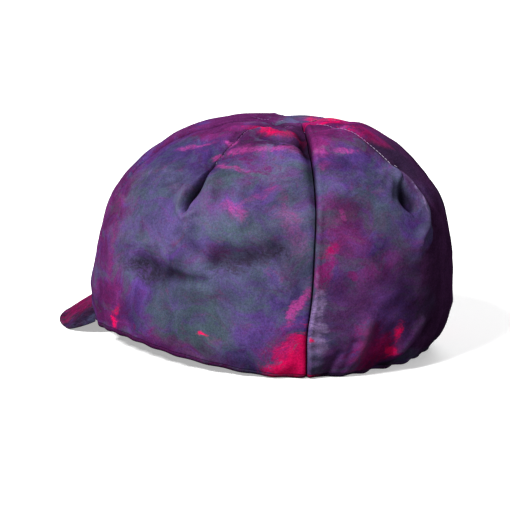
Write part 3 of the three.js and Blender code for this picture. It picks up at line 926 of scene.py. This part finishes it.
class Nodes:
    """Short calls for making shader nodes in one tree."""

    def __init__(self, tree):
        self.tree = tree
        tree.nodes.clear()

    def add(self, kind, inputs=None, **settings):
        node = self.tree.nodes.new(kind)
        for key, value in settings.items():
            setattr(node, key, value)
        for key, value in (inputs or {}).items():
            self.feed(node.inputs[key], value)
        return node

    def feed(self, socket, value):
        if isinstance(value, bpy.types.NodeSocket):
            self.tree.links.new(value, socket)
        else:
            socket.default_value = value

    def math(self, operation, a, b=0.0, clamp=False):
        node = self.add("ShaderNodeMath", {0: a, 1: b}, operation=operation, use_clamp=clamp)
        return node.outputs[0]

    def vector(self, operation, a, b=(0, 0, 0)):
        node = self.add("ShaderNodeVectorMath", {0: a, 1: b}, operation=operation)
        return node.outputs["Value" if operation == "LENGTH" else "Vector"]

    def scaled(self, a, factor):
        node = self.add("ShaderNodeVectorMath", {0: a, "Scale": factor}, operation="SCALE")
        return node.outputs["Vector"]

    def noise(self, where, scale, detail=2.0, rough=0.5, out="Fac"):
        values = {"Vector": where, "Scale": scale, "Detail": detail, "Roughness": rough}
        return self.add("ShaderNodeTexNoise", values, noise_dimensions="3D").outputs[out]

    def drift(self, where, scale, detail, rough, gain):
        """Noise that swings round 0."""
        centred = self.math("SUBTRACT", self.noise(where, scale, detail, rough), 0.5)
        return self.math("MULTIPLY", centred, gain)

    def spread(self, value, low, high, to_low=0.0, to_high=1.0, smooth=True):
        kind = "SMOOTHSTEP" if smooth else "LINEAR"
        values = {"Value": value, "From Min": low, "From Max": high, "To Min": to_low, "To Max": to_high}
        return self.add("ShaderNodeMapRange", values, interpolation_type=kind).outputs["Result"]

    def mix(self, factor, a, b, blend="MIX"):
        node = self.add("ShaderNodeMix", data_type="RGBA", blend_type=blend)
        for index, value in ((0, factor), (6, a), (7, b)):
            self.feed(node.inputs[index], value)
        return node.outputs[2]

    def grey(self, value):
        return self.add("ShaderNodeCombineColor", {0: value, 1: value, 2: value}).outputs[0]

    def warp(self, where, scale, reach, detail=1.0):
        """The place, moved about by noise."""
        colour = self.noise(where, scale, detail, 0.5, "Color")
        centred = self.vector("SUBTRACT", colour, (0.5, 0.5, 0.5))
        return self.vector("ADD", where, self.scaled(centred, reach))


def rgba(colour):
    return (*colour, 1.0)


def add_ramp(n, field):
    """The ground of the print: bands of ink along a field of noise."""
    ramp = n.add("ShaderNodeValToRGB", {"Fac": field})
    elements = ramp.color_ramp.elements
    while len(elements) < len(GROUND):
        elements.new(0.5)
    for element, (place, ink) in zip(elements, GROUND):
        element.position = place
        element.color = rgba(INK[ink])
    return ramp.outputs["Color"]


def print_group(name):
    """Node group that gives the colour of a piece's clouded print at each place on the cloth."""
    tree = bpy.data.node_groups.new(f"print_{name}", "ShaderNodeTree")
    tree.interface.new_socket(name="Color", in_out="OUTPUT", socket_type="NodeSocketColor")
    n = Nodes(tree)
    where = n.add("ShaderNodeTexCoord").outputs["Object"]
    broad = n.warp(where, 26.0, 0.030, 2.0)
    wisps = n.warp(broad, 95.0, 0.012, 2.0)
    fine = n.warp(wisps, 420.0, 0.0024)
    near = n.warp(n.warp(where, 95.0, 0.009, 2.0), 420.0, 0.0024)
    brushed = n.vector("MULTIPLY", wisps, (1, 1, 2.4))
    ragged = n.drift(brushed, 55.0, 5.0, 0.62, 2.4)
    frayed = n.drift(brushed, 110.0, 5.0, 0.66, 2.2)
    faded = n.drift(broad, 30.0, 3.0, 0.55, 1.0)
    broken = n.spread(n.noise(brushed, 300.0, 4.0, 0.7), 0.36, 0.60, 0.25, 1.0)
    colour = add_ramp(n, n.noise(broad, 19.0, 4.0, 0.62))
    for row in CLOUDS[name]:
        colour = add_cloud(n, fine, ragged, None, colour, *row)
    for scale, shift, low, high, ink, strength in STROKES:
        field = n.noise(n.vector("ADD", brushed, (shift, 0, 0)), scale, 5.0, 0.60)
        colour = n.mix(n.spread(field, low, high, 0, strength), colour, rgba(INK[ink]))
    beyond = beyond_dart(n, where)
    for row in BEYOND_DART.get(name, []):
        colour = add_cloud(n, near, faded, beyond, colour, *row)
    for row in ACCENTS[name]:
        colour = add_cloud(n, near, frayed, broken, colour, *row)
    light = n.spread(n.noise(broad, 42.0, 4.0, 0.6), 0.34, 0.66, 0.72, 1.30)
    n.add("NodeGroupOutput", {"Color": n.mix(1.0, colour, n.grey(light), "MULTIPLY")})
    return tree


def beyond_dart(n, where):
    """Which cloth lies past the back dart and past the ridge of the pucker below it."""
    split = n.add("ShaderNodeSeparateXYZ", {"Vector": n.scaled(where, 1 / MM)})
    across, height = split.outputs["X"], split.outputs["Z"]
    rise = n.math("DIVIDE", n.math("SUBTRACT", height, RIDGE["height"]), RIDGE["spread"])
    bulge = n.math("EXPONENT", n.math("MULTIPLY", n.math("MULTIPLY", rise, rise), -1.0))
    edge = n.math("ADD", across, n.math("MULTIPLY", bulge, RIDGE["out"]))
    edge = n.math("SUBTRACT", edge, n.spread(height, *RIDGE["foot"], 0.0, RIDGE["foot_shift"]))
    blur = n.spread(height, *RIDGE["blur_between"], *RIDGE["blur"])
    short_of = n.math("DIVIDE", n.math("ADD", edge, blur), n.math("MULTIPLY", blur, 2.0), clamp=True)
    return n.math("SUBTRACT", 1.0, short_of, clamp=True)


def add_cloud(n, where, ragged, broken, colour, angle, section, wide, tall, ink, strength, tilt=0):
    """One soft patch of colour: an ellipsoid round a place on the crown, in the cloth's own plane.
    ragged frays its edge, and broken, where there is one, is how much of it shows at each place."""
    centre = smooth_skin(float(angle), float(section))
    step = smooth_skin(angle + 0.5, section) - smooth_skin(angle - 0.5, section)
    out = Vector(outward(float(angle), float(section)))
    up = out.cross(Vector(unit(step))).normalized()
    across = up.cross(out).normalized()
    turned = Matrix((across, up, out)).transposed() @ Matrix.Rotation(math.radians(tilt), 3, "Z")
    node = n.add("ShaderNodeMapping", {
        "Vector": where, "Location": Vector(centre) * MM, "Rotation": turned.to_euler(),
        "Scale": Vector((wide, tall, max(wide, tall))) * MM}, vector_type="TEXTURE")
    distance = n.math("ADD", n.vector("LENGTH", node.outputs["Vector"]), ragged)
    factor = n.spread(distance, CLOUD_EDGE, CLOUD_CORE, 0.0, strength)
    if broken is not None:
        factor = n.math("MULTIPLY", factor, broken)
    return n.mix(factor, colour, rgba(INK[ink]))


def weave_height(n, cloth_uv):
    """Height of a plain weave, from the cloth's own coordinates."""
    split = n.add("ShaderNodeSeparateXYZ", {"Vector": cloth_uv})
    waves = [n.math("SINE", n.math("MULTIPLY", split.outputs[axis], 2 * math.pi / (WEAVE_PITCH * MM)))
             for axis in ("X", "Y")]
    return n.math("MULTIPLY", n.math("MULTIPLY", *waves), 0.5)


def new_material(name):
    """A material with an empty node tree."""
    material = bpy.data.materials.new(name)
    material.use_nodes = True
    return material, Nodes(material.node_tree)


def set_surface(n, inputs):
    """The principled surface of a material."""
    shader = n.add("ShaderNodeBsdfPrincipled", inputs)
    n.add("ShaderNodeOutputMaterial", {"Surface": shader.outputs["BSDF"]})


def cloth_material(name, group, dim, pale=0.0):
    """Matt woven cloth with the print: grain, flecks and small creases, with shade painted dark into the
    hollows and a highlight painted on the ridges. dim scales the print's colour, and pale is the share of
    the reverse's ink over it."""
    material, n = new_material(name)
    where = n.add("ShaderNodeTexCoord").outputs["Object"]
    cloth_uv = n.add("ShaderNodeUVMap", uv_map="cloth").outputs["UV"]
    colour = n.add("ShaderNodeGroup", node_tree=group).outputs["Color"]
    grain = n.noise(where, 900.0, 2.0, 0.7)
    speck = n.noise(where, 2200.0, 1.0, 0.6)
    light = n.math("ADD", n.spread(grain, 0.3, 0.7, 0.84, 1.18), n.spread(speck, 0.35, 0.65, -0.13, 0.13))
    colour = n.mix(1.0, colour, n.grey(light), "MULTIPLY")
    colour = n.mix(n.spread(speck, 0.60, 0.74, 0.0, 0.16), colour, rgba(PLAIN_INK["fleck"]))
    colour = n.mix(0.22, colour, n.noise(where, 1300.0, 1.0, 0.5, "Color"), "SOFT_LIGHT")
    colour = n.mix(1.0, colour, (dim, dim, dim, 1), "MULTIPLY")
    relief_mm = n.add("ShaderNodeAttribute", attribute_name="stands_out").outputs["Fac"]
    # painted shade: the deeper the cloth lies in a fold or pucker, the nearer its colour goes to the
    # near-black hollow ink
    sunk = n.spread(relief_mm, -0.3, -4.8, 0.0, 0.86, smooth=False)
    colour = n.mix(sunk, colour, rgba(PLAIN_INK["hollow"]))
    # painted highlight: what stands out of its surroundings is lightened towards a pale ink
    colour = n.mix(n.spread(relief_mm, 0.4, 2.4, 0.0, 0.16), colour, rgba(PLAIN_INK["painted_ridge_highlight"]))
    if pale:
        colour = n.mix(pale, colour, rgba(PLAIN_INK["reverse"]))
    slubs = n.math("MULTIPLY", n.noise(where, 700.0, 3.0, 0.6), 1.6)
    height = n.math("ADD", weave_height(n, cloth_uv), slubs)
    weave = n.add("ShaderNodeBump", {"Height": height, "Strength": 0.35, "Distance": 0.00012})
    creases = n.noise(n.warp(where, 60.0, 0.012), 85.0, 4.0, 0.55)
    creased = n.add("ShaderNodeBump", {
        "Height": creases, "Strength": 0.30, "Distance": 0.0022, "Normal": weave.outputs["Normal"]})
    set_surface(n, {
        "Base Color": colour, "Roughness": n.spread(grain, 0.3, 0.7, 0.62, 0.80),
        "Normal": creased.outputs["Normal"], "Specular IOR Level": 0.0})
    return material


def thread_material(name):
    """Twisted sewing thread, which takes a darker colour near the top of the crown."""
    material, n = new_material(name)
    colour = PLAIN_INK[name]
    where = n.add("ShaderNodeTexCoord").outputs["Object"]
    twist = n.noise(where, 3000.0, 2.0, 0.6)
    shade = n.mix(n.spread(twist, 0.35, 0.65), rgba([c * 0.7 for c in colour]), rgba(colour))
    height = n.add("ShaderNodeSeparateXYZ", {"Vector": where}).outputs["Z"]
    shade = n.mix(n.spread(height, 0.113, 0.120, 0.0, 0.75), shade, rgba(INK["aubergine"]))
    bump = n.add("ShaderNodeBump", {"Height": twist, "Strength": 0.4, "Distance": 0.0001})
    set_surface(n, {
        "Base Color": shade, "Roughness": n.spread(twist, 0.3, 0.7, 0.5, 0.65),
        "Normal": bump.outputs["Normal"], "Specular IOR Level": 0.4})
    return material


def build_cap():
    """Every piece of the cap, each with its materials."""
    for name, middle in PANELS.items():
        group = print_group(name)
        face = cloth_material(f"{name}_print", group, DIM["face"])
        reverse = cloth_material(f"{name}_reverse", group, DIM["reverse"], REVERSE_PALE)
        build_panel(name, middle, [face, reverse])
    build_hem([cloth_material("hem_print", print_group("hem_band"), DIM["hem"])])
    group = print_group("peak")
    over = cloth_material("peak_print", group, DIM["peak"])
    build_peak([over, cloth_material("peak_under_print", group, DIM["peak_under"])])
    pale = thread_material("pale_thread")
    dark = thread_material("dark_thread")
    for name, middle in PANELS.items():
        # one thread painted lit and shaded: pale on the back dart, whose edge catches the light, and dark
        # on the other darts
        thread = pale if name == "crown_back" else dark
        build_stitches(f"{name}_dart_thread", [dart_line(middle)], thread, DART_THREAD["raise"])
    tacks = [line for place in TACK_PLACES for line in tack_lines(*place)]
    build_stitches("seam_tacks", tacks, pale, TACK["raise"])


# Camera at the photograph's viewing angle
CAMERA = {"azimuth": 128.03, "elevation": 10.79, "distance": 940, "lens": 116.68}
CAMERA_TARGET = np.array((0, 20, 56), float)
CAMERA_OFFSET = {"right": 9.88, "up": 6.81}

# Floor, in metres, and the light: each lamp's azimuth, elevation, strength and spread in degrees
FLOOR = {"half": 30, "below": 0.0002}
STUDIO_LIGHT = 0.2
LAMPS = [
    ("key", 86, 40, 6.3, 14),
    ("rim", 225, 28, 0.25, 40),
    ("side", 165, 15, 0.4, 60),
    ("fill", 295, 30, 2.4, 40),
]


def camera_axes(azimuth, elevation):
    """Directions towards the viewer, to the right and up, of a view from an azimuth and elevation."""
    a, e = math.radians(azimuth), math.radians(elevation)
    back = np.array((math.sin(a) * math.cos(e), -math.cos(a) * math.cos(e), math.sin(e)))
    right = np.array((math.cos(a), math.sin(a), 0))
    return back, right, np.cross(back, right)


def add_object(name, data):
    made = bpy.data.objects.new(name, data)
    bpy.context.scene.collection.objects.link(made)
    return made


def place_camera():
    back, right, up = camera_axes(CAMERA["azimuth"], CAMERA["elevation"])
    position = CAMERA_TARGET + back * CAMERA["distance"]
    aim = CAMERA_TARGET - right * CAMERA_OFFSET["right"] - up * CAMERA_OFFSET["up"]
    data = bpy.data.cameras.new("camera")
    data.lens = CAMERA["lens"]
    data.sensor_width = 36
    data.clip_end = 200
    camera = add_object("camera", data)
    camera.location = Vector(position) * MM
    camera.rotation_euler = Vector(aim - position).to_track_quat("-Z", "Y").to_euler()
    bpy.context.scene.camera = camera


def build_floor():
    """A plain pale floor that sends no light of its own onto the cap."""
    mesh = bpy.data.meshes.new("floor")
    half, level = FLOOR["half"], -FLOOR["below"]
    corners = [(-half, -half, level), (half, -half, level), (half, half, level), (-half, half, level)]
    mesh.from_pydata(corners, [], [(0, 1, 2, 3)])
    material, n = new_material("pale_floor")
    set_surface(n, {
        "Base Color": (0.82, 0.82, 0.82, 1), "Roughness": 0.9, "Specular IOR Level": 0.1,
        "Emission Color": (1, 1, 1, 1), "Emission Strength": 0.4})
    mesh.materials.append(material)
    floor = add_object("floor", mesh)
    floor.visible_diffuse = False
    floor.visible_glossy = False


def light_scene():
    """A dim white studio and soft distant lamps round the cap."""
    world = bpy.data.worlds.new("studio")
    bpy.context.scene.world = world
    world.use_nodes = True
    n = Nodes(world.node_tree)
    background = n.add("ShaderNodeBackground", {"Color": (1, 1, 1, 1), "Strength": STUDIO_LIGHT})
    n.add("ShaderNodeOutputWorld", {"Surface": background.outputs["Background"]})
    for name, azimuth, elevation, strength, spread in LAMPS:
        data = bpy.data.lights.new(name, "SUN")
        data.energy = strength
        data.angle = math.radians(spread)
        back, _, _ = camera_axes(azimuth, elevation)
        add_object(name, data).rotation_euler = Vector(-back).to_track_quat("-Z", "Y").to_euler()


build_cap()
place_camera()
build_floor()
light_scene()
bpy.context.scene.view_settings.view_transform = "Standard"
